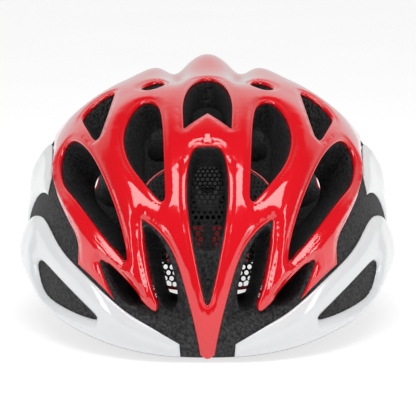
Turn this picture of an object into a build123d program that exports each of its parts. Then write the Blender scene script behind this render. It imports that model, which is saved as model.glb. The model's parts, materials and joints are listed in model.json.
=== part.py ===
"""Road cycling helmet: foam liner with a moulded skin, a dial-tightened cradle, pads and chin straps.

Frame: millimetres, +Z up, the wearer faces -Y. The origin is under the middle of the helmet, on the
plane it stands on. Outer and inner surfaces are radial: a point is CENTRE plus a reach along a
direction. A direction is written as (across, along) in degrees of tilt away from straight up,
across to +X and along to the rear, so the brow lies near (0, -100) and the nape near (0, 100).
"""

from build123d import *
import math
import os

os.makedirs("parts", exist_ok=True)

# ---- driving dimensions ------------------------------------------------------------------------
CENTRE = Vector(0, -1.6, 28)    # middle of the helmet at the level of its greatest width
HALF_WIDTH = 97                 # outer surface, before the flare of the lower band
FRONT_REACH = 139
REAR_REACH = 141
CROWN_REACH = 111
LOWER_REACH_FRONT = 130
LOWER_REACH_SIDE = 95
BAND_FLARE = 10.5               # extra half width at the level of the lower band
HEAD_HALF_WIDTH = 83            # cavity
HEAD_REACH = 104
HEAD_RISE = 86
SKIN = 0.9                      # moulded skin thickness
SKIN_GAP = 0.1                  # between skin and foam
WRAP = 112                      # how far from straight up the surfaces are made, degrees
GRID = 41                       # points along each side of a surface's grid

FRONT_ANCHOR = (-32, 39.0)      # (y, z) of the strap anchors in the rim's underside
REAR_ANCHOR = (36, 37.0)
PIVOT_Y, PIVOT_Z = -46, 52      # temple pins, about which the cradle tilts
WALL_X = 68.0                   # inner face of the temple plugs
PIN_R = 2.5
RUNNING_GAP = 0.05
ARM_T = 1.6
LOOP_Y = 26                     # centre of the arc that the rear bands follow
BAND_R_LEFT = 69.8              # middle of the left band's thickness
BAND_R_RIGHT = 71.4
BAND_T = 1.2
DIAL_Z = 24                     # dial and pinion axis
PITCH_R = 5.0                   # pinion
TEETH = 10
TOOTH_OUT, TOOTH_IN = 0.8, 1.0  # above and below the pitch line
WEBBING_W, WEBBING_T = 15.0, 1.4


# ---- radial surfaces ---------------------------------------------------------------------------
def direction(across, along):
    """Unit vector for a tilt of (across, along) degrees from straight up."""
    tilt = math.hypot(across, along)
    if tilt < 1e-9:
        return Vector(0, 0, 1)
    rise = math.radians(tilt)
    return Vector(math.sin(rise) * across / tilt, math.sin(rise) * along / tilt, math.cos(rise))


def bump(value, middle, width):
    return math.exp(-(((value - middle) / width) ** 2))


def relief(across, along):
    """Tail ridge with a valley and a fin each side of it, a swelling behind each ear, a flared lower band."""
    ridge = 15 * bump(across, 0, 7) * bump(along, 36, 20)
    fin = 5 * bump(abs(across), 14 + (24 - along) * 0.25, 6) * bump(along, 24, 18)
    lobe = 9 * bump(abs(across), 62, 15) * bump(along, 24, 24)
    valley = 7 * bump(abs(across), 9.5, 3.2) * bump(along, 16, 22)
    wing = 3.5 * bump(abs(across), 86, 14) * bump(along, -24, 34)
    return ridge + fin + lobe + wing - valley


def outer_reach(across, along):
    d = direction(across, along)
    side = d.X**2 / max(d.X**2 + d.Y**2, 1e-12)
    power = 2.15 + 0.95 * side + (0.5 * (1 - side) if d.Y > 0 else 0)
    length = FRONT_REACH if d.Y < 0 else REAR_REACH
    height = CROWN_REACH if d.Z > 0 else LOWER_REACH_FRONT + (LOWER_REACH_SIDE - LOWER_REACH_FRONT) * side
    plan = (abs(d.X) / HALF_WIDTH) ** 2.3 + (abs(d.Y) / length) ** 2.3
    reach = (max(plan, 1e-9) ** (power / 2.3) + (abs(d.Z) / height) ** power) ** (-1 / power)
    flare = BAND_FLARE * side * bump(math.hypot(across, along), 90, 22.5)
    return reach + flare + relief(across, along)


def inner_reach(across, along):
    d = direction(across, along)
    height = HEAD_RISE if d.Z > 0 else 120
    terms = (abs(d.X) / HEAD_HALF_WIDTH, abs(d.Y) / HEAD_REACH, abs(d.Z) / height)
    return sum(term**2.2 for term in terms) ** (-1 / 2.2)


def surface_face(reach, offset):
    steps = [-WRAP + 2 * WRAP * i / (GRID - 1) for i in range(GRID)]
    rows = [[CENTRE + direction(s, t) * (reach(s, t) + offset) for t in steps] for s in steps]
    return Face.make_surface_from_array_of_points(rows, tol=0.02)


def dome(outside, outside_offset, inside, inside_offset):
    """Solid between two radial surfaces, closed by four ruled walls along their edges."""
    over, under = surface_face(outside, outside_offset), surface_face(inside, inside_offset)
    faces = [over, under]
    for edge in over.edges():
        middle = (edge @ 0.5) - CENTRE
        other = min(under.edges(), key=lambda e: ((e @ 0.5) - CENTRE).get_angle(middle))
        faces.append(Face.make_surface_from_curves(edge, other))
    solid = Solid(Shell(faces))
    return -solid if solid.volume < 0 else solid


# ---- outlines on the surface -------------------------------------------------------------------
def smooth_loop(corners, samples=28):
    """Closed curve that rounds the corners of a polygon. A corner given twice stays sharp."""
    share = max(3, round(samples / len(corners)))
    points = []
    for i, corner in enumerate(corners):
        before, after = corners[i - 1], corners[(i + 1) % len(corners)]
        start = [(before[k] + corner[k]) / 2 for k in (0, 1)]
        end = [(corner[k] + after[k]) / 2 for k in (0, 1)]
        for step in range(share):
            u = step / share
            point = [(1 - u) ** 2 * start[k] + 2 * u * (1 - u) * corner[k] + u * u * end[k] for k in (0, 1)]
            if not points or math.dist(point, points[-1]) > 0.2:
                points.append(point)
    return points


def both_sides(half):
    """Closes an outline that starts and ends near the centre line with its mirror image."""
    return half + [(-s, t) for s, t in reversed(half) if abs(s) > 1e-6]


def flip(corners):
    return [(-s, t) for s, t in reversed(corners)]


def cone(corners, near=40, far=190, sharp=False):
    """Solid that widens from the centre through an outline, to cut or keep a region."""
    loop = corners if sharp else smooth_loop(corners)
    rays = [direction(*point) for point in loop]
    middle = sum(rays, Vector(0, 0, 0)).normalized()
    ends = []
    for height in (near, far):
        points = [CENTRE + ray * (height / ray.dot(middle)) for ray in rays]
        if sharp:
            ends.append(Wire.make_polygon(points, close=True))
        else:
            ends.append(Wire([Edge.make_spline(points, periodic=True)]))
    return Solid.make_loft(ends, ruled=True)


# Outlines of the vents, right-hand side or centre.
CENTRE_VENTS = {
    "crown": both_sides([(0, -3), (4, -9), (7.2, -28), (6.6, -43), (6.6, -43), (0, -36), (0, -36)]),
    "front": both_sides([(0, -49.5), (4.5, -50), (6.2, -62), (5.2, -72), (3, -82), (0, -91)]),
    "tail": both_sides([(0, 50), (5, 53), (7.5, 66), (5, 76), (0, 79)]),
}
SIDE_VENTS = {
    "inner": [(19, -25), (14, -29), (12.5, -40), (12, -58), (12, -66), (17, -60), (23, -50), (24, -38)],
    "outer": [
        (43, -22), (48, -27), (47, -40), (42, -50), (35, -63), (29, -72), (25, -77), (25.5, -68),
        (29, -55), (35, -38),
    ],
    "upper": [(27, -6), (38, -14), (37, -22), (32, -40), (29, -30), (27.5, -18)],
    "lower": [(19, -68), (19.5, -76), (17.5, -89), (10.5, -90), (10.5, -80), (14.5, -72)],
    "corner": [(34.5, -71), (31.5, -83), (23, -87), (22, -85), (27, -79)],
    "top_rear": [(12.5, -13), (16.5, -18.5), (20, -14), (17.5, -7.5), (13.5, -5.5)],
    "lateral": [(29, 3), (37, -4), (43, 4), (42, 26), (34, 42), (28, 24)],
    "rear_side": [(51, 27), (57, 36), (53, 54), (45, 65), (39, 59), (43, 44)],
    "rear_inner": [(10, 41), (18, 37), (25, 44), (26, 53), (19, 59), (11, 55)],
}
# Regions outside the red skin, right-hand side.
FRONT_GAP = [
    (2.0, -104), (2.0, -104), (3.6, -97), (6.3, -88), (10, -77), (14.5, -71), (19, -67.5), (19, -67.5),
    (19.6, -76), (16.5, -88.5), (19.5, -88.5), (28, -79), (35.6, -70), (34.5, -77), (30.5, -87),
    (30.5, -87), (40, -120), (2.0, -120),
]
SIDE_GAP = [
    (29.4, -86), (29.4, -86), (37.2, -77), (44.6, -68.3), (44.6, -68.3), (42, -63), (46, -54),
    (51.5, -37), (52, -17), (52, -4), (58, 6), (104, 10), (100, -50), (60, -98),
]
REAR_GAP = [
    (52, -4), (52, -4), (51.5, 14), (55.5, 33), (53.5, 53), (44.5, 68), (29, 78.5), (12, 83.5), (-6, 84.5),
    (-6, 118), (56, 104), (104, 50), (104, -4),
]
# Hollow in the foam beside the brow ridge, right-hand side.
BROW_BASIN = [(5, -94), (8, -84), (14, -73), (20, -68), (30, -70), (36, -72), (33, -79), (27, -86), (14, -93)]
# Kept regions of the white skins, right-hand side.
BAND = [
    (10.5, -97), (10.5, -97), (18.5, -93), (31, -85.3), (45, -69.3), (52, -59), (57, -46), (60, -39),
    (66, -28), (74, -12), (84, -4), (98, -10), (98, -30), (84, -66), (56, -96), (30, -110), (10.5, -110),
    (10.5, -110),
]
BAND_SLOT = [(69, -45), (70.5, -56), (66, -65), (53, -77.5), (39, -86), (47, -77), (57, -64)]
REAR_BAND = [
    (52.6, -28), (52.6, -28), (52.9, -10), (52.9, 4), (53.5, 15), (57.5, 34), (55.5, 54), (46, 69.5),
    (30, 80), (12, 85), (-8, 86), (-8, 118), (60, 108), (94, 70), (86, 44), (82, 20), (78, 4), (70, -4),
    (62, -20), (56, -33), (56, -33),
]


def front_and_rear_vents():
    """Every vent cutter, the side ones on both sides."""
    cutters = [cone(corners) for corners in CENTRE_VENTS.values()]
    for corners in SIDE_VENTS.values():
        cutters += [cone(corners), cone(flip(corners))]
    return cutters


def below_rim(lift=0.0):
    """Everything under the rim. The rim is low at the brow and nape and high over the ears."""
    x = -200
    edge = [(-139, 1.6), (-119, 8), (-83, 17), (-42, 33), (-10, 39), (22, 37), (50, 26), (76, 9), (100, 0)]
    points = [Vector(x, y, z + lift) for y, z in edge]
    curve = Edge.make_spline(points, tangents=[Vector(0, 1, 0.25), Vector(0, 1, 0)])
    corners = [points[-1], (x, 170, lift), (x, 170, -200), (x, -170, -200), (x, -170, 1.6 + lift), points[0]]
    lines = [Edge.make_line(a, b) for a, b in zip(corners, corners[1:])]
    solid = extrude(Face(Wire([curve, *lines])), amount=400, dir=(1, 0, 0))
    half = [(14, -170, 20), (11, -170, 1.6 + lift), (6, -170, lift)]
    nose = Wire.make_polygon(half + [(-x, y, z) for x, y, z in reversed(half)], close=True)
    return solid - extrude(Face(nose), amount=46, dir=(0, 1, 0))


def nape_arch(lift=0.0):
    """The rim rises over the dial at the back."""
    points = [(-50, 90, -5), (-46, 90, 3 + lift), (-30, 90, 11.5 + lift), (0, 90, 14 + lift)]
    points += [(-x, y, z) for x, y, z in reversed(points[:-1])]
    wire = Wire([Edge.make_spline(points), Edge.make_line(points[-1], points[0])])
    return extrude(Face(wire), amount=80, dir=(0, 1, 0))


def sorted_corners(first, second):
    """Lowest and highest corner of the box between two points."""
    return [tuple(pick(pair) for pair in zip(first, second)) for pick in (min, max)]


def air_channel(corners):
    """Groove along the inside of the foam."""
    return GROOVE_DEPTH & cone(corners)


# ---- small builders ----------------------------------------------------------------------------
def arc_strip(radius, thickness, start, end, low, high):
    """Upright strip that follows the loop's arc. Angles run from the rear towards +X, in degrees."""
    def at(r, angle):
        a = math.radians(angle)
        return Vector(r * math.sin(a), LOOP_Y + r * math.cos(a), low)

    inside, outside, middle = radius - thickness / 2, radius + thickness / 2, (start + end) / 2
    wire = Wire([
        Edge.make_three_point_arc(at(inside, start), at(inside, middle), at(inside, end)),
        Edge.make_line(at(inside, end), at(outside, end)),
        Edge.make_three_point_arc(at(outside, end), at(outside, middle), at(outside, start)),
        Edge.make_line(at(outside, start), at(inside, start)),
    ])
    return extrude(Face(wire), amount=high - low, dir=(0, 0, 1))


def rod(start, axis, length, radius):
    plane = Plane(origin=start, z_dir=axis)
    return plane * Cylinder(radius, length, align=(Align.CENTER, Align.CENTER, Align.MIN))


def block(low, high):
    size = [b - a for a, b in zip(low, high)]
    middle = [(a + b) / 2 for a, b in zip(low, high)]
    return Pos(*middle) * Box(*size)


def ribbon(stations, start, end, width=WEBBING_W, thickness=WEBBING_T):
    """Webbing through stations of (point, width direction), leaving along start and arriving along end."""
    path = Edge.make_spline([Vector(point) for point, _ in stations], tangents=[Vector(start), Vector(end)])
    shares = [path.param_at_point(Vector(point)) for point, _ in stations]
    sections = []
    for i in range(len(stations) - 1):
        for k in range(RIBBON_STEPS + (i == len(stations) - 2)):
            blend = k / RIBBON_STEPS
            share = shares[i] + (shares[i + 1] - shares[i]) * blend
            tangent = path % share
            across = Vector(stations[i][1]) * (1 - blend) + Vector(stations[i + 1][1]) * blend
            across = (across - tangent * across.dot(tangent)).normalized()
            h, w = across.cross(tangent) * (thickness / 2), across * (width / 2)
            p = path @ share
            sections.append(Wire.make_polygon([p - w - h, p + w - h, p + w + h, p - w + h], close=True))
    return Solid.make_loft(sections, ruled=True)


RIBBON_STEPS = 4                # blended sections between two stations


def mirrored(solid):
    return mirror(solid, about=Plane.YZ)


def main_solid(shape):
    """The solid that spans furthest, without the slivers that the cuts leave beside it."""
    return max(shape.solids(), key=lambda solid: solid.bounding_box().diagonal)


def save(name, *solids):
    shape = solids[0] if len(solids) == 1 else Compound(children=list(solids))
    export_step(shape, f"parts/{name}.step")


def save_pair(name, right_solid):
    save(f"{name}_right", right_solid)
    save(f"{name}_left", mirrored(right_solid))


# ---- shell and liner ---------------------------------------------------------------------------
VENT_CUTTERS = front_and_rear_vents()
RIM = below_rim()
GROOVE_DEPTH = dome(inner_reach, 9, inner_reach, -6)
BASIN_DEPTH = dome(outer_reach, 6, outer_reach, -8)


def plug_pocket(side, grow):
    """Disc pocket in the foam for a temple plug."""
    return rod((side * (WALL_X + grow - 4), PIVOT_Y, PIVOT_Z), (side, 0, 0), 8.5, 8 + grow)


def foam_liner():
    liner = dome(outer_reach, -SKIN - SKIN_GAP, inner_reach, 0)
    for cutter in VENT_CUTTERS:
        liner -= cutter
    liner -= air_channel([(-6, -66), (6, -66), (8, 0), (6, 66), (-6, 66), (-8, 0)])
    for side in (1, -1):
        liner -= air_channel([(side * 14, -52), (side * 22, -52), (side * 25, 0), (side * 22, 56), (side * 14, 56), (side * 13, 0)])
    liner = liner - (BASIN_DEPTH & cone(BROW_BASIN)) - (BASIN_DEPTH & cone(flip(BROW_BASIN)))
    liner = liner - RIM - nape_arch()
    liner -= block((-35, 88, -5), (35, 117, 53))                    # room for the dial and its housing
    liner -= block((-11, 70, 50), (11, 110, 86)) & dome(inner_reach, 4, inner_reach, -6)
    for side in (1, -1):
        liner -= plug_pocket(side, 0.1)
        for y, z in (FRONT_ANCHOR, REAR_ANCHOR):
            liner -= block(*sorted_corners((side * 86.3, y - 10.2, -10), (side * 93.7, y + 10.2, z + 1.3)))
    return main_solid(liner)


def red_skin():
    skin = dome(outer_reach, 0, outer_reach, -SKIN) - below_rim(0.5)
    for region in (FRONT_GAP, SIDE_GAP, REAR_GAP):
        skin = skin - cone(region) - cone(flip(region))
    for cutter in VENT_CUTTERS:
        skin -= cutter
    return main_solid(skin)


def white_band():
    skin = dome(outer_reach, 1.2, outer_reach, -SKIN)
    skin = skin & cone(BAND)
    skin = skin - cone(BAND_SLOT) - below_rim(0.4)
    return main_solid(skin)


def rear_band():
    """Right half; the halves meet at a seam on the centre line."""
    skin = dome(outer_reach, 1.2, outer_reach, -SKIN)
    half = skin & cone(REAR_BAND)
    for name in ("rear_side", "rear_inner", "lateral"):
        half -= cone(SIDE_VENTS[name])
    half = (half & block((0.15, 0, -60), (200, 200, 200))) - below_rim(0.6) - nape_arch(0.8)
    return main_solid(half)


def build_shell():
    save("foam_liner", foam_liner())
    save("top_shell", red_skin())
    save_pair("lower_band", white_band())
    save_pair("rear_band", rear_band())


# ---- pads and insect net -----------------------------------------------------------------------
def build_pads():
    pad_layer = dome(inner_reach, -0.6, inner_reach, -6.5)
    net_layer = dome(inner_reach, -0.5, inner_reach, -1.3)
    brow = pad_layer & cone(both_sides([(0, -101), (26, -98), (50, -78), (56, -62), (48, -62), (22, -87), (0, -90)]))
    crown_right = pad_layer & cone([(8.5, -38), (13, -38), (13.5, 0), (13, 42), (8.5, 42), (8.5, 0)])
    side_right = pad_layer & cone([(26, -45), (30, -46), (33, -20), (33, 10), (30, 40), (26, 40), (25, 0)])
    net = net_layer & cone(both_sides([(0, -88), (24, -85), (31, -70), (27, -50), (10, -42), (0, -41)]))
    save("brow_pad", brow)
    save_pair("crown_pad", crown_right)
    save_pair("side_pad", side_right)
    save("insect_net", net)


# ---- retention cradle --------------------------------------------------------------------------
def arm_path():
    """Plan of the right arm's middle line, from the temple to the loop of the rear band."""
    def on_arc(angle):
        a = math.radians(angle)
        return (ARM_R * math.sin(a), LOOP_Y + ARM_R * math.cos(a))

    return [(WALL_X - 0.3 - ARM_T / 2, y) for y in (-53, -39)] + [(75.6, -4), (74.2, 34)] + [
        on_arc(angle) for angle in (62, 54, 46, 38, 30)
    ]


ARM_R = BAND_R_RIGHT + 2.0


def arm():
    path = Edge.make_spline([Vector(x, y, 0) for x, y in arm_path()])
    count = 30
    middle = [path @ (i / count) for i in range(count + 1)]
    normals = [Vector((path % (i / count)).Y, -(path % (i / count)).X, 0) for i in range(count + 1)]
    sides = [[p + n * (side * ARM_T / 2) for p, n in zip(middle, normals)] for side in (1, -1)]
    edges = [Edge.make_spline(points) for points in sides]
    ends = [Edge.make_line(sides[0][k], sides[1][k]) for k in (0, -1)]
    tall = extrude(Face(Wire([edges[0], ends[1], edges[1], ends[0]])), amount=80, dir=(0, 0, 1))
    lower = [(-60, PIVOT_Z - 8), (-46, PIVOT_Z - 8), (0, 33), (50, 20), (70, 17), (110, 17)]
    upper = [(-60, PIVOT_Z + 8), (-46, PIVOT_Z + 8), (0, 46), (50, 34), (70, 31), (110, 31)]
    low_edge, high_edge = (Edge.make_spline([Vector(0, y, z) for y, z in line]) for line in (lower, upper))
    closing = [Edge.make_line((0, *lower[-1]), (0, *upper[-1])), Edge.make_line((0, *upper[0]), (0, *lower[0]))]
    profile = extrude(Face(Wire([low_edge, closing[0], high_edge, closing[1]])), amount=120, dir=(1, 0, 0))
    strip = tall & profile
    strip -= rod((0, PIVOT_Y, PIVOT_Z), (1, 0, 0), 120, PIN_R + RUNNING_GAP)
    return strip


def band_loop(side):
    """Guide on the arm's end that the band slides through."""
    outside = arc_strip(BAND_R_RIGHT - 0.6, 5.0, 31, 35, 13, 35)
    hollow = arc_strip(BAND_R_RIGHT - 1.0, 3.4, 30, 36, 14.6, 33.4)
    guide = outside - hollow
    return guide if side > 0 else mirrored(guide)


def rack_band(radius, side, tooth_edge):
    """Band end with a long slot, toothed on its upper or lower edge for the pinion."""
    def across(angle):
        return radius * math.sin(math.radians(angle))

    strip = arc_strip(radius, BAND_T, -9, 46, DIAL_Z - 9, DIAL_Z + 9)
    pitch = math.degrees(2 * math.pi * PITCH_R / TEETH / radius)
    plain, root = DIAL_Z - tooth_edge * (PITCH_R + TOOTH_OUT + 0.4), DIAL_Z + tooth_edge * (PITCH_R + TOOTH_IN)
    slot = [(across(SLOT_END), plain), (across(SLOT_START), plain), (across(SLOT_START), root)]
    for k in range(-1, 6):
        for share, reach in RACK_TOOTH:
            slot.append((across((k + share) * pitch), DIAL_Z + tooth_edge * (PITCH_R + reach)))
    slot.append((across(SLOT_END), root))
    wire = Wire.make_polygon([(x, 0, z) for x, z in slot], close=True)
    strip -= extrude(Face(wire), amount=120, dir=(0, 1, 0))
    return strip if side > 0 else mirrored(strip)


SLOT_START, SLOT_END = -6.5, 20
RACK_TOOTH = [(-0.27, TOOTH_IN), (-0.22, 0), (-0.12, -TOOTH_OUT), (0.12, -TOOTH_OUT), (0.22, 0), (0.27, TOOTH_IN)]


def pinion():
    """Pinion and its shaft. A gap between teeth faces straight up and another straight down."""
    y = LOOP_Y + BAND_R_LEFT - 1.2
    root = PITCH_R - TOOTH_IN
    gear = rod((0, y, DIAL_Z), (0, 1, 0), 4.2, root)
    for k in range(TEETH):
        angle = 360 / TEETH * (k + 0.5)
        profile = [(-1.0, root - 0.5), (-0.62, PITCH_R), (-0.32, PITCH_R + TOOTH_OUT - 0.1)]
        profile += [(-x, z) for x, z in reversed(profile)]
        tooth = extrude(Face(Wire.make_polygon([(x, 0, z) for x, z in profile], close=True)), amount=4.2, dir=(0, 1, 0))
        gear += Pos(0, y, DIAL_Z) * (Rot(0, angle, 0) * tooth)
    return gear + rod((0, y + 4.2, DIAL_Z), (0, 1, 0), DIAL_FACE_Y + 3 - y - 4.2, 3)


HOUSING_SPAN = 23               # half angle
HOUSING_LOW, HOUSING_HIGH = DIAL_Z - 14, DIAL_Z + 14
COVER_R = BAND_R_LEFT - 3.0
BACK_R = BAND_R_RIGHT + 4.0
DIAL_FACE_Y = LOOP_Y + BACK_R + 3.2


def housing_back():
    wall = arc_strip(BACK_R, 1.8, -HOUSING_SPAN, HOUSING_SPAN, HOUSING_LOW, HOUSING_HIGH)
    depth = BACK_R - COVER_R - 1.7
    for low in (HOUSING_LOW, HOUSING_HIGH - 1.8):
        wall += arc_strip((BACK_R + COVER_R) / 2, depth, -HOUSING_SPAN, HOUSING_SPAN, low, low + 1.8)
    wall += rod((0, LOOP_Y + BACK_R - 0.5, DIAL_Z), (0, 1, 0), 3.2, 10)
    wall -= rod((0, LOOP_Y + BACK_R - 4, DIAL_Z), (0, 1, 0), 12, 3 + RUNNING_GAP)
    for sx in (-1, 1):
        for z in (HOUSING_LOW + 0.9, HOUSING_HIGH - 0.9):
            wall -= screw_hole(sx, z, SCREW_R + 0.04)
    return wall


SCREW_R = 0.7


def screw_hole(sx, z, radius):
    angle = math.radians(16)
    start = (sx * (COVER_R - 2) * math.sin(angle), LOOP_Y + (COVER_R - 2) * math.cos(angle), z)
    return rod(start, (sx * math.sin(angle), math.cos(angle), 0), 6.5, radius)


def housing_cover():
    cover = arc_strip(COVER_R - 0.1, 1.4, -HOUSING_SPAN, HOUSING_SPAN, HOUSING_LOW, HOUSING_HIGH)
    for sx in (-1, 1):
        for z in (HOUSING_LOW + 0.9, HOUSING_HIGH - 0.9):
            cover -= screw_hole(sx, z, SCREW_R + 0.04)
    return cover


def housing_screws():
    screws = []
    for sx in (-1, 1):
        for z in (HOUSING_LOW + 0.9, HOUSING_HIGH - 0.9):
            angle = math.radians(16)
            out = Vector(sx * math.sin(angle), math.cos(angle), 0)
            seat = Vector(0, LOOP_Y, z) + out * (COVER_R - 1.0)
            screws.append(rod(seat, out, 4.5, SCREW_R) + rod(seat - out * 0.8, out, 0.8, 1.3))
    return screws


def dial():
    """Ribbed knob with a skirt. It sits on the pinion's shaft."""
    knob = rod((0, DIAL_FACE_Y - 0.2, DIAL_Z), (0, 1, 0), 8.5, 15)
    ribs = 20
    for k in range(ribs):
        a = 2 * math.pi * k / ribs
        knob -= rod((16.2 * math.sin(a), DIAL_FACE_Y + 0.8, DIAL_Z + 16.2 * math.cos(a)), (0, 1, 0), 9, 1.8)
    knob -= rod((0, DIAL_FACE_Y + 6.3, DIAL_Z), (0, 1, 0), 5, 10.5)
    knob -= rod((0, DIAL_FACE_Y - 1, DIAL_Z), (0, 1, 0), 4.05, 3.02)
    return knob


def dial_cap():
    return rod((0, DIAL_FACE_Y + 6.35, DIAL_Z), (0, 1, 0), 1.5, 10.3)


def height_strap():
    """Hanger from the housing up into the track at the back of the foam."""
    low, high = Vector(0, LOOP_Y + BACK_R - 2.4, HOUSING_HIGH + 0.6), Vector(0, 80.5, 76)
    middle = (low + high) / 2
    rise = (high - low).normalized()
    strap = ribbon([(point, (1, 0, 0)) for point in (low, middle, high)], rise, rise, 15, 1.8)
    return strap - rod(middle - Vector(0, 6, 0), (0, 1, 0.3), 14, 4.2)


def height_track():
    layer = dome(inner_reach, 3.8, inner_reach, 2.2)
    plate = layer & block((-10.8, 72, 53.5), (10.8, 104, 85.5))
    return plate - block((-3, 60, 58), (3, 110, 80))


def nape_pad():
    return arc_strip(COVER_R - 3.9, 4.0, 3, 24, HOUSING_LOW + 3, HOUSING_HIGH - 3)


def temple_plug():
    """Foam anchor with the pin that the arm turns on."""
    disc = rod((WALL_X, PIVOT_Y, PIVOT_Z), (1, 0, 0), 4.4, 8)
    return disc + rod((WALL_X - 4.4, PIVOT_Y, PIVOT_Z), (1, 0, 0), 4.6, PIN_R)


def temple_cap():
    ring = rod((WALL_X - 3.8, PIVOT_Y, PIVOT_Z), (1, 0, 0), 1.4, 5)
    return ring - rod((WALL_X - 5, PIVOT_Y, PIVOT_Z), (1, 0, 0), 5, PIN_R + 0.02)


def build_cradle():
    right_arm = arm()
    save("cradle_arm_right", right_arm + band_loop(1))
    save("cradle_arm_left", mirrored(right_arm) + band_loop(-1))
    save("toothed_band_left", rack_band(BAND_R_LEFT, -1, 1))
    save("toothed_band_right", rack_band(BAND_R_RIGHT, 1, -1))
    save("dial_pinion", pinion())
    save("dial_housing", housing_back())
    save("housing_cover", housing_cover())
    save("housing_screws", *housing_screws())
    save("dial_knob", dial())
    save("dial_cap", dial_cap())
    save("height_strap", height_strap())
    save("height_track", height_track())
    save_pair("nape_pad", nape_pad())
    save_pair("temple_plug", temple_plug())
    save_pair("temple_cap", temple_cap())


# ---- chin straps -------------------------------------------------------------------------------
DIVIDER = Vector(54, 2, 0)      # cam-lock divider, lying on the floor inside the rim
BUCKLE_Y = -66


def strap_anchor(y, z):
    """Moulded anchor plate let into the rim's underside."""
    return Pos(90, y, z) * Box(7, 20, 2.4)


def upper_strap(anchor, divider_y):
    """From under an anchor down to the divider on the floor."""
    y, z = anchor
    lean = -0.55 if y > 0 else 0.55
    return ribbon(
        [
            ((90, y, z - 1.6), (0, 1, 0)),
            ((89, y * 0.97, (z + 8) / 2), (0, 1, 0)),
            ((85, y * 0.86, 5.5), (lean * 0.6, 1, 0)),
            ((76, (y + divider_y) / 2, 1.5), (lean, 1, 0)),
            ((66.5, divider_y, 1.5), (0, 1, 0)),
        ],
        (0, 0, -1),
        (-1, 0, 0),
    )


def divider_body():
    body = block((DIVIDER.X - 10, -15.5, 0.3), (DIVIDER.X + 12, 19.5, 3.0))
    for x in (DIVIDER.X - 7.5, DIVIDER.X + 5.5):
        body -= block((x, -12.5, -1), (x + 3.2, 16.5, 9))
    for y in (-15.5, 17.0):
        body += block((DIVIDER.X - 10, y, 3.0), (DIVIDER.X - 4, y + 2.5, 8.2))
    return body - rod((DIVIDER.X - 7, -20, 5.6), (0, 1, 0), 50, 1.5 + RUNNING_GAP)


def divider_lever():
    lever = block((DIVIDER.X - 8.5, -12.7, 3.9), (DIVIDER.X + 10, 16.7, 6.6))
    return lever + rod((DIVIDER.X - 7, -15.4, 5.6), (0, 1, 0), 34.8, 1.5)


def chin_strap():
    """Webbing that leaves the divider flat, stands on edge round the bend and lies flat at the buckle."""
    return ribbon(
        [
            ((43.6, 2, 1.3), (0, 1, 0)),
            ((38.6, -0.5, 9.2), (0.6, 0.9, 0.1)),
            ((36.8, -14, 10.2), (0.4, 0.1, 1)),
            ((36.4, -32, 9.0), (0, 0, 1)),
            ((34, -47, 8.8), (-0.2, 0.2, 1)),
            ((28.5, -60, 7.0), (-0.3, 0.8, 0.5)),
            ((20.9, BUCKLE_Y, 3.0), (0, 1, 0)),
        ],
        (-1, 0, 0),
        (-1, 0, 0),
    )


def buckle_socket():
    """Female half of the side-release buckle, with a window in each side."""
    y0, y1 = BUCKLE_Y - 13, BUCKLE_Y + 13
    body = block((-9, y0, 0.3), (14, y1, 8.3))
    body += block((14, y0 + 1, 0.3), (20.5, y1 - 1, 5.0)) - block((16.2, y0 + 3.5, -1), (18.6, y1 - 3.5, 9))
    body -= block((-10, y0 + 2.2, 2.0), (11, y1 - 2.2, 6.6))
    for y in (y0 - 1, y1 - 3):
        body -= block((-3, y, 2.0), (8, y + 4, 6.6))
    return body


def buckle_plug():
    """Male half: base with a strap bar, two prongs and a guide."""
    y0, y1 = BUCKLE_Y - 13, BUCKLE_Y + 13
    body = block((-21, y0 + 1, 0.3), (-9.4, y1 - 1, 7.4)) - block((-18.5, y0 + 3.5, -1), (-15.5, y1 - 3.5, 9))
    for y in (y0 + 2.5, y1 - 5.7):
        body += block((-9.4, y, 2.4), (7.5, y + 3.2, 6.2))
    return body + block((-9.4, BUCKLE_Y - 2, 2.8), (9, BUCKLE_Y + 2, 5.8))


def build_straps():
    save_pair("strap_anchor_front", strap_anchor(*FRONT_ANCHOR))
    save_pair("strap_anchor_rear", strap_anchor(*REAR_ANCHOR))
    save_pair("strap_front", upper_strap(FRONT_ANCHOR, -7))
    save_pair("strap_rear", upper_strap(REAR_ANCHOR, 11))
    save_pair("divider_body", divider_body())
    save_pair("divider_lever", divider_lever())
    save_pair("chin_strap", chin_strap())
    save("buckle_socket", buckle_socket())
    save("buckle_plug", buckle_plug())


build_shell()
build_pads()
build_cradle()
build_straps()
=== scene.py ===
"""Looks of a vented road helmet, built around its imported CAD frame.

Surfaces are radial about CENTRE. A direction is (across, along) in degrees of tilt away from straight
up: across to +X, along to the rear. Shapes below are in millimetres and are scaled to metres at the end.
"""

import bpy
import bmesh
import json
import math
import numpy as np
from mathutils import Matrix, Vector, kdtree
from mathutils.geometry import delaunay_2d_cdt

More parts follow.
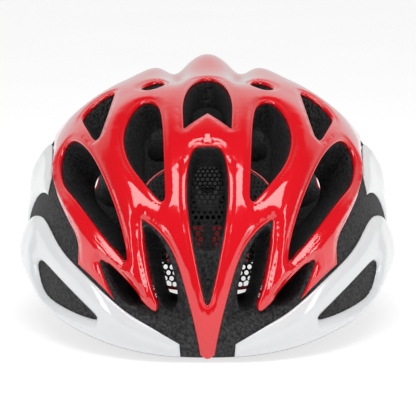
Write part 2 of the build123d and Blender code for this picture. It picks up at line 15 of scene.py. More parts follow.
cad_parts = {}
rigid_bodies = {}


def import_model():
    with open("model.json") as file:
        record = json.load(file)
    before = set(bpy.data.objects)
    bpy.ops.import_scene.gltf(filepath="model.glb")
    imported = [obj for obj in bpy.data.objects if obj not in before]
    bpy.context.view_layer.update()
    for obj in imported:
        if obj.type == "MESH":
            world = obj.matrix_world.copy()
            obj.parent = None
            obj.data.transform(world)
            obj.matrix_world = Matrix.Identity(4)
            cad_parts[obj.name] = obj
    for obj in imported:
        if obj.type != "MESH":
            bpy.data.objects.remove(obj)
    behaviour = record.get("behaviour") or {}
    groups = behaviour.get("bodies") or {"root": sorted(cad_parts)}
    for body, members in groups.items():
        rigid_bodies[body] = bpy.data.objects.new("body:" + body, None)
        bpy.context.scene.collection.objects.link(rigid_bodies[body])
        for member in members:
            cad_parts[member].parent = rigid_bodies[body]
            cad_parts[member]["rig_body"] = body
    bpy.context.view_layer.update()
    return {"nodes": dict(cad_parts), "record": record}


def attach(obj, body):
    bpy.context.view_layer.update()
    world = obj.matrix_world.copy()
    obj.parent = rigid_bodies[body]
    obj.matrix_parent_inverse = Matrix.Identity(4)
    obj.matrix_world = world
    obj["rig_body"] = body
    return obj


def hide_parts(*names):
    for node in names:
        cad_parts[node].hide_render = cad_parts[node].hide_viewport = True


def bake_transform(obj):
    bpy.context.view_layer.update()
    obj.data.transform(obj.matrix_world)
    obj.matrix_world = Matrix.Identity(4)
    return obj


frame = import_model()

MM = 0.001


# ---- sizes from the frame ----------------------------------------------------------------------
CENTRE = np.array([0.0, -1.6, 28.0])
HALF_WIDTH, FRONT_REACH, REAR_REACH, CROWN_REACH = 97.0, 139.0, 141.0, 111.0
BAND_OUT = 1.2                  # the white bands stand this far proud of the red skin
HEAD_HALF_WIDTH, HEAD_REACH, HEAD_RISE = 83.0, 104.0, 86.0


# ---- radial surfaces, as in the CAD ------------------------------------------------------------
def bump(value, middle, width):
    return np.exp(-(((value - middle) / width) ** 2))


def directions(st):
    tilt = np.hypot(st[:, 0], st[:, 1])
    safe = np.maximum(tilt, 1e-9)
    rise = np.radians(tilt)
    return np.stack([np.sin(rise) * st[:, 0] / safe, np.sin(rise) * st[:, 1] / safe, np.cos(rise)], axis=1)


def relief(st):
    across, along = np.abs(st[:, 0]), st[:, 1]
    ridge = 15 * bump(across, 0, 7) * bump(along, 36, 20)
    fin = 5 * bump(across, 14 + (24 - along) * 0.25, 6) * bump(along, 24, 18)
    lobe = 9 * bump(across, 62, 15) * bump(along, 24, 24)
    valley = 7 * bump(across, 9.5, 3.2) * bump(along, 16, 22)
    wing = 3.5 * bump(across, 86, 14) * bump(along, -24, 34)
    return ridge + fin + lobe + wing - valley


def outer_reach(st):
    d = np.abs(directions(st))
    up, back = directions(st)[:, 2] > 0, st[:, 1] > 0
    side = d[:, 0] ** 2 / np.maximum(d[:, 0] ** 2 + d[:, 1] ** 2, 1e-12)
    power = 2.15 + 0.95 * side + np.where(back, 0.5 * (1 - side), 0)
    length = np.where(back, REAR_REACH, FRONT_REACH)
    height = np.where(up, CROWN_REACH, 130 - 35 * side)
    plan = np.maximum((d[:, 0] / HALF_WIDTH) ** 2.3 + (d[:, 1] / length) ** 2.3, 1e-9)
    reach = (plan ** (power / 2.3) + (d[:, 2] / height) ** power) ** (-1 / power)
    flare = 10.5 * side * bump(np.hypot(st[:, 0], st[:, 1]), 90, 22.5)
    return reach + flare + relief(st)


def inner_reach(st):
    d = np.abs(directions(st))
    height = np.where(directions(st)[:, 2] > 0, HEAD_RISE, 120)
    total = (d[:, 0] / HEAD_HALF_WIDTH) ** 2.2 + (d[:, 1] / HEAD_REACH) ** 2.2 + (d[:, 2] / height) ** 2.2
    return total ** (-1 / 2.2)


def place(st, reach):
    return CENTRE + directions(st) * reach[:, None]


# ---- outlines, as in the CAD: right-hand side, a corner given twice stays sharp ---------------------
def both_sides(half):
    return half + [(-s, t) for s, t in reversed(half) if abs(s) > 1e-6]


def flip(corners):
    return [(-s, t) for s, t in reversed(corners)]


CENTRE_VENTS = {
    "crown": both_sides([(0, -3), (4, -9), (7.2, -28), (6.6, -43), (6.6, -43), (0, -36), (0, -36)]),
    "front": both_sides([(0, -49.5), (4.5, -50), (6.2, -62), (5.2, -72), (3, -82), (0, -91)]),
    "tail": both_sides([(0, 50), (5, 53), (7.5, 66), (5, 76), (0, 79)]),
}
SIDE_VENTS = {
    "inner": [(19, -25), (14, -29), (12.5, -40), (12, -58), (12, -66), (17, -60), (23, -50), (24, -38)],
    "outer": [
        (43, -22), (48, -27), (47, -40), (42, -50), (35, -63), (29, -72), (25, -77), (25.5, -68),
        (29, -55), (35, -38),
    ],
    "upper": [(27, -6), (38, -14), (37, -22), (32, -40), (29, -30), (27.5, -18)],
    "lower": [(19, -68), (19.5, -76), (17.5, -89), (10.5, -90), (10.5, -80), (14.5, -72)],
    "corner": [(34.5, -71), (31.5, -83), (23, -87), (22, -85), (27, -79)],
    "top_rear": [(12.5, -13), (16.5, -18.5), (20, -14), (17.5, -7.5), (13.5, -5.5)],
    "lateral": [(29, 3), (37, -4), (43, 4), (42, 26), (34, 42), (28, 24)],
    "rear_side": [(51, 27), (57, 36), (53, 54), (45, 65), (39, 59), (43, 44)],
    "rear_inner": [(10, 41), (18, 37), (25, 44), (26, 53), (19, 59), (11, 55)],
}
FRONT_GAP = [
    (2.0, -104), (2.0, -104), (3.6, -97), (6.3, -88), (10, -77), (14.5, -71), (19, -67.5), (19, -67.5),
    (19.6, -76), (16.5, -88.5), (19.5, -88.5), (28, -79), (35.6, -70), (34.5, -77), (30.5, -87),
    (30.5, -87), (40, -120), (2.0, -120),
]
SIDE_GAP = [
    (29.4, -86), (29.4, -86), (37.2, -77), (44.6, -68.3), (44.6, -68.3), (42, -63), (46, -54),
    (51.5, -37), (52, -17), (52, -4), (58, 6), (104, 10), (100, -50), (60, -98),
]
REAR_GAP = [
    (52, -4), (52, -4), (51.5, 14), (55.5, 33), (53.5, 53), (44.5, 68), (29, 78.5), (12, 83.5), (-6, 84.5),
    (-6, 118), (56, 104), (104, 50), (104, -4),
]
FRONT_BORE = [(0, -49.5), (4.5, -50), (6.2, -62), (5.4, -71), (3.2, -75.5), (0, -77)]
BROW_BASIN = [(5, -94), (8, -84), (14, -73), (20, -68), (30, -70), (36, -72), (33, -79), (27, -86), (14, -93)]
BAND = [
    (10.5, -97), (10.5, -97), (18.5, -93), (31, -85.3), (45, -69.3), (52, -59), (57, -46), (60, -39),
    (66, -28), (74, -12), (84, -4), (98, -10), (98, -30), (84, -66), (56, -96), (30, -110), (10.5, -110),
    (10.5, -110),
]
BAND_SLOT = [(69, -45), (70.5, -56), (66, -65), (53, -77.5), (39, -86), (47, -77), (57, -64)]
REAR_BAND = [
    (52.6, -28), (52.6, -28), (52.9, -10), (52.9, 4), (53.5, 15), (57.5, 34), (55.5, 54), (46, 69.5),
    (30, 80), (12, 85), (-8, 86), (-8, 118), (60, 108), (94, 70), (86, 44), (82, 20), (78, 4), (70, -4),
    (62, -20), (56, -33), (56, -33),
]
RIM_HALF = [(-139, 1.6), (-119, 8), (-83, 17), (-42, 33), (-10, 39), (22, 37), (50, 26), (76, 9), (100, 0)]


def rim_height(y):
    """Height of the rim along the helmet: a smooth line through RIM_HALF, level behind it."""
    ys, zs = np.array(RIM_HALF, float).T
    slopes = np.gradient(zs, ys)
    slopes[-1] = 0
    y = np.clip(y, ys[0], ys[-1])
    i = np.clip(np.searchsorted(ys, y) - 1, 0, len(ys) - 2)
    span = ys[i + 1] - ys[i]
    u = (y - ys[i]) / span
    start, end = zs[i] * (1 + 2 * u) * (1 - u) ** 2, zs[i + 1] * u**2 * (3 - 2 * u)
    return start + end + span * (slopes[i] * u * (1 - u) ** 2 - slopes[i + 1] * u**2 * (1 - u))


def arch_height(x):
    """Height of the arch over the dial, at the back."""
    u = np.clip(np.abs(x) / 49, 0, 1)
    return 14 * (1 - u**4) ** 1.5 + 0.01


def smooth_loop(corners, spacing=0.55):
    """Closed curve that rounds the corners of a polygon, as points about spacing degrees apart."""
    points = []
    for i, corner in enumerate(corners):
        before, corner, after = (np.array(corners[k % len(corners)], float) for k in (i - 1, i, i + 1))
        start, end = (before + corner) / 2, (corner + after) / 2
        length = np.linalg.norm(corner - start) + np.linalg.norm(end - corner)
        for u in np.arange(0, 1, 1 / max(1, round(length / spacing))):
            point = (1 - u) ** 2 * start + 2 * u * (1 - u) * corner + u * u * end
            if not points or np.linalg.norm(point - points[-1]) > spacing * 0.4:
                points.append(point)
    return np.array(points)


def inside(loop, st):
    """Which of the points st lie inside a closed loop."""
    result = np.zeros(len(st), bool)
    for (x1, y1), (x2, y2) in zip(loop, np.roll(loop, -1, axis=0)):
        if y1 != y2:
            crosses = (y1 > st[:, 1]) != (y2 > st[:, 1])
            result ^= crosses & (st[:, 0] < (x2 - x1) * (st[:, 1] - y1) / (y2 - y1) + x1)
    return result


VENT_LOOPS = [smooth_loop(corners) for corners in CENTRE_VENTS.values()]
for name in SIDE_VENTS:
    VENT_LOOPS += [smooth_loop(SIDE_VENTS[name]), smooth_loop(flip(SIDE_VENTS[name]))]
FRONT_LOOP = VENT_LOOPS[1]
# In the foam the lower part of the front vent is a blind hollow.
FOAM_LOOPS = [VENT_LOOPS[0], smooth_loop(both_sides(FRONT_BORE)), *VENT_LOOPS[2:]]


# ---- meshing a region of a surface -------------------------------------------------------------
def ring_points(loop, offset):
    """A copy of a closed loop, moved sideways by offset degrees."""
    along = np.roll(loop, -1, axis=0) - np.roll(loop, 1, axis=0)
    normal = np.stack([along[:, 1], -along[:, 0]], axis=1)
    return loop + offset * normal / np.maximum(np.linalg.norm(normal, axis=1), 1e-9)[:, None]


def tree_of(points):
    tree = kdtree.KDTree(len(points))
    for i, point in enumerate(points):
        tree.insert(tuple(point) if len(point) == 3 else (*point, 0.0), i)
    tree.balance()
    return tree


def distances(tree, points):
    return np.array([tree.find(tuple(p) if len(p) == 3 else (*p, 0.0))[2] for p in points])


def triangulate(loops, keep, spacing, rings):
    """Triangles over the part of the (across, along) plane where keep is true.

    The loops are edges of the mesh. Rows of points follow them at the ring distances, in degrees, and a
    grid fills the rest. Returns the points and the triangles, with only the points in use."""
    fixed = np.concatenate(loops)
    edges, first = [], 0
    for loop in loops:
        count = len(loop)
        edges += [(first + i, first + (i + 1) % count) for i in range(count)]
        first += count
    near_edge = tree_of(fixed)
    extra = []
    for ring in rings:
        for loop in loops:
            for sign in (1, -1):
                row = ring_points(loop[:: 1 if ring < 1 else 2], sign * ring)
                row = row[keep(row)]
                if len(row):
                    extra.append(row[distances(near_edge, row) > 0.9 * ring])
    low, high = fixed.min(axis=0), fixed.max(axis=0)
    xs, ys = np.arange(low[0], high[0], spacing), np.arange(low[1], high[1], spacing * 0.866)
    grid = np.array([(x + (j % 2) * spacing / 2, y) for j, y in enumerate(ys) for x in xs])
    grid = grid[keep(grid)]
    extra.append(grid[distances(near_edge, grid) > (rings[-1] if rings else 0) + 0.5 * spacing])
    points = np.concatenate([fixed, *extra])
    found = delaunay_2d_cdt([Vector(p) for p in points], edges, [], 0, 1e-5, False)
    points = np.array([tuple(v) for v in found[0]])
    triangles = np.array([f for f in found[2] if len(f) == 3])
    corners = points[triangles]
    crossed = (corners[:, 1] - corners[:, 0])[:, ::-1] * (corners[:, 2] - corners[:, 0])
    triangles = triangles[np.abs(crossed[:, 1] - crossed[:, 0]) > 1e-5]
    triangles = triangles[keep(points[triangles].mean(axis=1))]
    used, index = np.unique(triangles, return_inverse=True)
    return points[used], index.reshape(-1, 3)


def border_edges(triangles):
    """Directed edges that belong to one triangle only."""
    edges = np.concatenate([triangles[:, [0, 1]], triangles[:, [1, 2]], triangles[:, [2, 0]]])
    ordered = np.sort(edges, axis=1)
    _, where, count = np.unique(ordered, axis=0, return_index=True, return_counts=True)
    return edges[where[count == 1]]


def largest_part(triangles):
    """Only those triangles that hang together with the most others."""
    label = np.arange(triangles.max() + 1)
    while True:
        lowest = label[triangles].min(axis=1)
        before = label.copy()
        for column in range(3):
            np.minimum.at(label, triangles[:, column], lowest)
        label = label[label]
        if (label == before).all():
            break
    part = label[triangles[:, 0]]
    return triangles[part == np.bincount(part).argmax()]


def closed_shell(layers, triangles):
    """Joins the first and last of several layers of the same triangles along their borders.

    The layers between them only shape the wall round the border."""
    count = len(layers[0])
    border = border_edges(triangles)
    points = [layers[0], layers[-1]]
    faces = [tuple(t) for t in triangles] + [tuple(t[::-1] + count) for t in triangles]
    corner = np.unique(border)
    first = {int(v): int(v) for v in corner}
    total = 2 * count
    for layer in layers[1:-1]:
        after = {int(v): total + i for i, v in enumerate(corner)}
        points.append(layer[corner])
        total += len(corner)
        faces += [(first[a], after[a], after[b], first[b]) for a, b in border.tolist()]
        first = after
    faces += [(first[a], a + count, b + count, first[b]) for a, b in border.tolist()]
    return np.concatenate(points), faces


def new_object(name, points, faces, material, body="helmet", smooth=True):
    mesh = bpy.data.meshes.new(name)
    mesh.from_pydata([tuple(p) for p in np.asarray(points) * MM], [], [tuple(map(int, f)) for f in faces])
    mesh.validate()
    work = bmesh.new()
    work.from_mesh(mesh)
    bmesh.ops.recalc_face_normals(work, faces=work.faces)
    for face in work.faces:
        face.smooth = smooth
    work.to_mesh(mesh)
    work.free()
    mesh.materials.append(material)
    thing = bpy.data.objects.new(name, mesh)
    bpy.context.scene.collection.objects.link(thing)
    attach(thing, body)
    return thing


def step_up(value, start, end):
    u = np.clip((value - start) / (end - start), 0, 1)
    return u * u * (3 - 2 * u)


def polyline_distance(st, line):
    """Distance in degrees from points to an open line, and its share of the way along."""
    best, share = np.full(len(st), 1e9), np.zeros(len(st))
    line = np.array(line, float)
    for i, (a, b) in enumerate(zip(line, line[1:])):
        u = np.clip(((st - a) @ (b - a)) / ((b - a) @ (b - a)), 0, 1)
        d = np.linalg.norm(st - a - u[:, None] * (b - a), axis=1)
        closer = d < best
        best[closer], share[closer] = d[closer], (i + u[closer]) / (len(line) - 1)
    return best, share


# ---- the red skin ------------------------------------------------------------------------------
STRUT_CREST = [(21, -16), (24.8, -30), (25.8, -44), (23.8, -54), (21.8, -62), (20.8, -70), (20.2, -80), (18.6, -88)]
OUTER_CREST = [(52, -14), (51, -26), (49, -38), (45, -50), (38, -62), (31, -72), (25, -79), (19.5, -87)]
SPINE_CREST = [(9.5, -8), (10.5, -24), (10.8, -50), (10.8, -64), (9.6, -74), (6.5, -84)]


def crest(st, line, height, width):
    """Roof-shaped ridge along a line on both sides of the helmet, lower towards its ends."""
    distance, share = polyline_distance(np.abs(st) * [1, 0] + st * [0, 1], line)
    ends = step_up(share, 0, 0.18) * step_up(1 - share, 0, 0.1)
    roof = 1 - (np.sqrt(distance**2 + 0.35**2) - 0.35) / width
    return height * np.maximum(roof, 0) * ends


def skin_detail(st):
    across, along = np.abs(st[:, 0]), st[:, 1]
    total = crest(st, STRUT_CREST, 2.6, 7.0) + crest(st, OUTER_CREST, 2.2, 6.0) + crest(st, SPINE_CREST, 1.2, 4.5)
    below = -along - (46.6 + across * 1.15)
    hood = 2.2 * step_up(below, 0, 0.8) * (1 - step_up(across, 6.5, 8.0)) * step_up(along, -60, -54)
    keel = 0.9 * np.maximum(1 - across / 6, 0) * step_up(along, -54, -46) * step_up(-along, 30, 38)
    return total - hood + keel


def vent_edge(distance):
    """Height near an opening: a rolled lip, a narrow flange and a small step up to the main surface."""
    u = np.clip(distance / 1.3, 0, 1)
    return -1.4 * (1 - np.sqrt(1 - (1 - u) ** 2)) - 0.8 * (1 - step_up(distance, 2.3, 3.9))


TIP = smooth_loop([(-12, -98.6), (-3.5, -99.6), (0, -101.6), (3.5, -99.6), (12, -98.6), (12, -112), (-12, -112)])
RED_CUTS = VENT_LOOPS + [TIP]
for corners in (FRONT_GAP, SIDE_GAP, REAR_GAP):
    RED_CUTS += [smooth_loop(corners), smooth_loop(flip(corners))]


def outside_all(loops):
    return lambda st: ~np.any([inside(loop, st) for loop in loops], axis=0)


def border_distance(points, triangles):
    """Distance in millimetres from each point to the border of its mesh."""
    border = border_edges(triangles)
    a, b = points[border[:, 0]], points[border[:, 1]]
    samples = np.concatenate([a * (1 - u) + b * u for u in (0, 0.25, 0.5, 0.75)])
    return distances(tree_of(samples), points)


def make_top_shell(material):
    limit = smooth_loop([(-90, -125), (90, -125), (90, 110), (-90, 110)], 4)
    outside = outside_all(RED_CUTS)

    def keep(st):
        return outside(st) & inside(limit, st) & (np.hypot(st[:, 0], st[:, 1]) < 104)

    spacing = 1.0
    st, triangles = triangulate(RED_CUTS, keep, spacing, [0.08, 0.22, 0.42, 0.62, 0.95, 1.3, 1.7])
    used, index = np.unique(largest_part(triangles), return_inverse=True)
    st, triangles = st[used], index.reshape(-1, 3)
    base = outer_reach(st)
    distance = border_distance(place(st, base), triangles)
    top = base + skin_detail(st) * step_up(distance, 0, 5) + vent_edge(distance)
    basin = inside(smooth_loop(BROW_BASIN), st) | inside(smooth_loop(flip(BROW_BASIN)), st)
    depth = np.where(basin, 7.5, 3.6)
    layers = [place(st, top), place(st, base - 2.4), place(st, base - 0.5 * (2.4 + depth)), place(st, base - depth)]
    points, faces = closed_shell(layers, triangles)
    shell = new_object("top_shell_skin", points, faces, material)
    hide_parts("top_shell")
    return shell


# ---- the white bands ---------------------------------------------------------------------------
def rim_loop(reach, lift=0.0, count=720):
    """Closed curve of directions in which a surface meets the rim."""
    turn = np.linspace(0, 2 * np.pi, count, endpoint=False)
    low, high = np.full(count, 50.0), np.full(count, 118.0)
    for _ in range(30):
        tilt = (low + high) / 2
        st = np.stack([tilt * np.sin(turn), tilt * np.cos(turn)], axis=1)
        points = place(st, reach(st))
        floor = rim_height(points[:, 1])
        rear = points[:, 1] > 90
        floor = np.where(rear, np.maximum(floor, arch_height(points[:, 0])), floor)
        above = points[:, 2] > floor + lift
        low, high = np.where(above, tilt, low), np.where(above, high, tilt)
    return st


def rounded_edge(distance, radius, drop):
    u = np.clip(distance / radius, 0, 1)
    return -drop * (1 - np.sqrt(1 - (1 - u) ** 2))


def band_skin(name, keep_loop, cut_loops, crest_line, material, replaced):
    rim = rim_loop(outer_reach, 0.5)
    loops = [keep_loop, rim, *cut_loops]
    outside = outside_all(cut_loops) if cut_loops else (lambda st: np.ones(len(st), bool))

    def keep(st):
        return inside(keep_loop, st) & inside(rim, st) & outside(st)

    st, triangles = triangulate(loops, keep, 1.3, [0.1, 0.25, 0.5, 0.8, 1.2, 1.7])
    base = outer_reach(st)
    distance = border_distance(place(st, base), triangles)
    ridge = crest(st, crest_line, 1.3, 7.0) * step_up(distance, 0, 4)
    top = base + BAND_OUT - 1.3 + ridge + rounded_edge(distance, 2.6, 1.6) + 1.0 * step_up(distance, 0, 7)
    layers = [place(st, reach) for reach in (top, base - 1.2, base - 2.0)]
    points, faces = closed_shell(layers, triangles)
    skin = new_object(name, points, faces, material)
    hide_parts(*replaced)
    return skin


BAND_CREST = [(9, -98.5), (24, -92.8), (37, -86), (50, -79.8), (62, -71), (70.5, -58), (72, -46), (72, -30)]
REAR_CREST = [(62, -2), (63, 20), (66, 36), (60, 62), (46, 78), (28, 88), (0, 93)]


def make_bands(material):
    slot_loop = smooth_loop(BAND_SLOT)
    band_skin("lower_band_skin_right", smooth_loop(BAND), [slot_loop], BAND_CREST, material, ["lower_band_right"])
    band_skin(
        "lower_band_skin_left", smooth_loop(flip(BAND)), [slot_loop * [-1, 1]], BAND_CREST, material,
        ["lower_band_left"],
    )
    for side, sign in (("right", 1), ("left", -1)):
        cuts = [smooth_loop(SIDE_VENTS[n]) for n in ("rear_side", "rear_inner", "lateral")]
        seam = np.array([(0.07, 70), (0.07, 125), (-14, 125), (-14, 70)])
        cuts.append(np.concatenate([np.linspace(a, b, 60, False) for a, b in zip(seam, np.roll(seam, -1, 0))]))
        cuts = [loop * [sign, 1] for loop in cuts]
        band_skin(
            f"rear_band_skin_{side}", smooth_loop(REAR_BAND) * [sign, 1], cuts, REAR_CREST, material,
            [f"rear_band_{side}"],
        )


# ---- foam liner --------------------------------------------------------------------------------
DIAL_POCKET = (35, 117, 53)     # half width, rear and top of the room for the dial


def cavity_reach(st):
    """Inside of the foam, with its air channels and the pocket for the dial."""
    d = directions(st)
    base = inner_reach(st)
    across, along = np.abs(st[:, 0]), st[:, 1]
    middle = step_up(-across, -7.2, -6.0) * step_up(-np.abs(along), -66, -60)
    beside = step_up(across, 13.2, 14.6) * step_up(-across, -23.5, -22) * step_up(-np.abs(along), -55, -50)
    channel = base + 7 * np.maximum(middle, beside)
    half, rear, top = DIAL_POCKET
    tiny = 1e-6
    ahead = (rear - CENTRE[1]) / np.maximum(d[:, 1], tiny)
    aside = half / np.maximum(np.abs(d[:, 0]), tiny)
    above = (top - CENTRE[2]) / np.maximum(d[:, 2], tiny)
    pocket = np.minimum(np.minimum(ahead, aside), above)
    pocket = np.where(d[:, 1] * pocket + CENTRE[1] > 88, pocket, 0)
    spot = place(st, base)
    track = (np.abs(spot[:, 0]) < 11) & (spot[:, 2] > 50) & (spot[:, 2] < 86) & (spot[:, 1] > 70)
    return np.maximum(np.maximum(channel, np.where(track, base + 4, 0)), pocket)


def basin_depth(st):
    depth = np.zeros(len(st))
    for corners in (BROW_BASIN, flip(BROW_BASIN)):
        loop = smooth_loop(corners)
        depth = np.maximum(depth, inside(loop, st) * step_up(distances(tree_of(loop), st), 0, 3.2))
    crease = 0.75 + 0.4 * np.maximum(1 - np.abs(st[:, 0]) / 4, 0)
    front = inside(FRONT_LOOP, st) * step_up(distances(tree_of(FRONT_LOOP), st), 0, 1.6) * crease
    return 7 * np.maximum(depth, front)


def foam_surface(reach, spacing, rings):
    rim = rim_loop(reach)
    outside = outside_all(FOAM_LOOPS)
    return triangulate(FOAM_LOOPS + [rim], lambda st: outside(st) & inside(rim, st), spacing, rings)


def make_foam(material):
    st, outer_faces = foam_surface(outer_reach, 1.3, [0.2, 0.5, 1.0])
    base = outer_reach(st)
    distance = border_distance(place(st, base), outer_faces)
    surface = base - 1.6 - basin_depth(st) + rounded_edge(distance, 1.8, 1.0)
    points, faces = [place(st, surface)], [tuple(t) for t in outer_faces]
    count = len(st)
    st, inner_faces = foam_surface(cavity_reach, 1.3, [0.3])
    points.append(place(st, cavity_reach(st)))
    faces += [tuple(t[::-1] + count) for t in inner_faces]
    count += len(st)
    for loop in FOAM_LOOPS:
        top = outer_reach(loop) - 2.6 - basin_depth(loop)
        bottom = cavity_reach(loop)
        rows = [place(loop, top * (1 - u) + bottom * u) for u in np.linspace(0, 1, 7)]
        faces += wall_faces(len(loop), len(rows), count)
        points += rows
        count += len(loop) * len(rows)
    outer_rim, inner_rim = rim_loop(outer_reach), rim_loop(cavity_reach)
    start, end = place(outer_rim, outer_reach(outer_rim) - 2.6), place(inner_rim, cavity_reach(inner_rim))
    rows = []
    for u in np.linspace(0, 1, 7):
        row = start * (1 - u) + end * u
        floor = rim_height(row[:, 1])
        floor = np.where(row[:, 1] > 90, np.maximum(floor, arch_height(row[:, 0])), floor)
        if 0 < u < 1:
            row[:, 2] = floor
        rows.append(row)
    faces += wall_faces(len(start), len(rows), count)
    points += rows
    foam = new_object("foam_body", np.concatenate(points), faces, material)
    weld(foam, 0.05)
    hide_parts("foam_liner")
    return foam


def wall_faces(around, rows, first):
    """Quads between closed rows of points that follow each other."""
    faces = []
    for row in range(rows - 1):
        for i in range(around):
            j = (i + 1) % around
            a, b = first + row * around, first + (row + 1) * around
            faces.append((a + i, a + j, b + j, b + i))
    return faces


def weld(thing, distance):
    work = bmesh.new()
    work.from_mesh(thing.data)
    bmesh.ops.remove_doubles(work, verts=work.verts, dist=distance * MM)
    bmesh.ops.recalc_face_normals(work, faces=work.faces)
    work.to_mesh(thing.data)
    work.free()


# ---- insect net --------------------------------------------------------------------------------
NET = both_sides([(0, -88), (24, -85), (31, -70), (27, -50), (10, -42), (0, -41)])
NET_PITCH, NET_HOLE, NET_THICK = 3.4, 1.27, 0.6      # hole spacing, hole radius


def on_front(across_mm, down_mm, reach):
    """Direction of a point on an unrolled front surface of that reach."""
    tilt = down_mm / reach * 180 / math.pi
    turn = across_mm / reach
    return np.stack([tilt * np.sin(turn), -tilt * np.cos(turn)], axis=1)


def make_net(material, piping):
    edge = smooth_loop(NET)
    mean_reach = 98.0
    points, faces, count = [], [], 0
    step = NET_PITCH * 0.866
    for row in range(int(30 / step), int(165 / step)):
        for column in range(-26, 27):
            middle = ((column + (row % 2) / 2) * NET_PITCH, row * step)
            corner = np.arange(12) * math.pi / 6 + math.pi / 6
            reach_out = NET_PITCH / 2 / np.cos(math.pi / 6 * ((np.arange(12) + 1) % 2))
            hexagon = np.stack([middle[0] + reach_out * np.sin(corner - math.pi / 6),
                                middle[1] + reach_out * np.cos(corner - math.pi / 6)], axis=1)
            hole = np.stack([middle[0] + NET_HOLE * np.sin(corner - math.pi / 6),
                             middle[1] + NET_HOLE * np.cos(corner - math.pi / 6)], axis=1)
            outer, inner = (on_front(ring[:, 0], ring[:, 1], mean_reach) for ring in (hexagon, hole))
            if not inside(edge, outer).all():
                continue
            points += [place(outer, inner_reach(outer) - 0.9), place(inner, inner_reach(inner) - 0.9)]
            faces += [(count + i, count + (i + 1) % 12, count + 12 + (i + 1) % 12, count + 12 + i) for i in range(12)]
            count += 24
    net = new_object("insect_net_mesh", np.concatenate(points), faces, material)
    weld(net, 0.25)
    solid = net.modifiers.new("thickness", "SOLIDIFY")
    solid.thickness, solid.offset = NET_THICK * MM, 0
    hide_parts("insect_net")
    hem = smooth_loop(NET, 2.0)
    tube("insect_net_hem", place(hem, inner_reach(hem) - 1.2), 0.9, piping, closed=True)


def tube(name, points, radius, material, closed=False, body="helmet", resolution=3):
    curve = bpy.data.curves.new(name, "CURVE")
    curve.dimensions, curve.bevel_depth, curve.bevel_resolution = "3D", radius * MM, resolution
    spline = curve.splines.new("NURBS")
    spline.points.add(len(points) - 1)
    for knot, point in zip(spline.points, points):
        knot.co = (*(np.asarray(point) * MM), 1)
    spline.use_cyclic_u, spline.use_endpoint_u, spline.order_u = closed, not closed, 3
    curve.materials.append(material)
    thing = bpy.data.objects.new(name, curve)
    bpy.context.scene.collection.objects.link(thing)
    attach(thing, body)
    return thing


# ---- pads --------------------------------------------------------------------------------------
PADS = {
    "brow_pad": both_sides([(0, -101), (26, -98), (50, -78), (56, -62), (48, -62), (22, -87), (0, -90)]),
    "crown_pad_right": [(8.5, -38), (13, -38), (13.5, 0), (13, 42), (8.5, 42), (8.5, 0)],
    "side_pad_right": [(26, -45), (30, -46), (33, -20), (33, 10), (30, 40), (26, 40), (25, 0)],
}


def make_pads(material):
    """Crowned pads: each swells towards its middle, and a stitched line runs just inside its edge."""
    shapes = dict(PADS)
    for name in ("crown_pad_right", "side_pad_right"):
        shapes[name.replace("right", "left")] = flip(PADS[name])
    for name, corners in shapes.items():
        loop = smooth_loop(corners)
        st, triangles = triangulate([loop], lambda p: inside(loop, p), 1.4, [0.3, 0.8, 1.5])
        base = inner_reach(st)
        distance = border_distance(place(st, base), triangles)
        swell = 5.6 * np.sqrt(1 - (1 - np.clip(distance / 5.5, 0, 1)) ** 2) - 0.9 * bump(distance, 3.4, 0.7)
        layers = [place(st, base - 0.7), place(st, base - 0.9), place(st, base - 1.0 - swell * 0.96)]
        points, faces = closed_shell(layers, triangles)
        pad = new_object(f"{name}_soft", points, faces, material)
        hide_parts(name)


# ---- webbing -----------------------------------------------------------------------------------
FRONT_ANCHOR, REAR_ANCHOR = (-32, 39.0), (36, 37.0)
BUCKLE_Y = -66


def upper_strap(anchor, divider_y):
    y, z = anchor
    lean = -0.55 if y > 0 else 0.55
    return [
        ((90, y, z - 1.6), (0, 1, 0)),
        ((89, y * 0.97, (z + 8) / 2), (0, 1, 0)),
        ((85, y * 0.86, 5.5), (lean * 0.6, 1, 0)),
        ((76, (y + divider_y) / 2, 1.5), (lean, 1, 0)),
        ((66.5, divider_y, 1.5), (0, 1, 0)),
    ]


CHIN_STRAP = [
    ((43.6, 2, 1.3), (0, 1, 0)),
    ((38.6, -0.5, 9.2), (0.6, 0.9, 0.1)),
    ((36.8, -14, 10.2), (0.4, 0.1, 1)),
    ((36.4, -32, 9.0), (0, 0, 1)),
    ((34, -47, 8.8), (-0.2, 0.2, 1)),
    ((28.5, -60, 7.0), (-0.3, 0.8, 0.5)),
    ((20.9, BUCKLE_Y, 3.0), (0, 1, 0)),
]


def hermite(a, b, slope_a, slope_b, u):
    return (a * (2 * u**3 - 3 * u**2 + 1) + slope_a * (u**3 - 2 * u**2 + u)
            + b * (3 * u**2 - 2 * u**3) + slope_b * (u**3 - u**2))


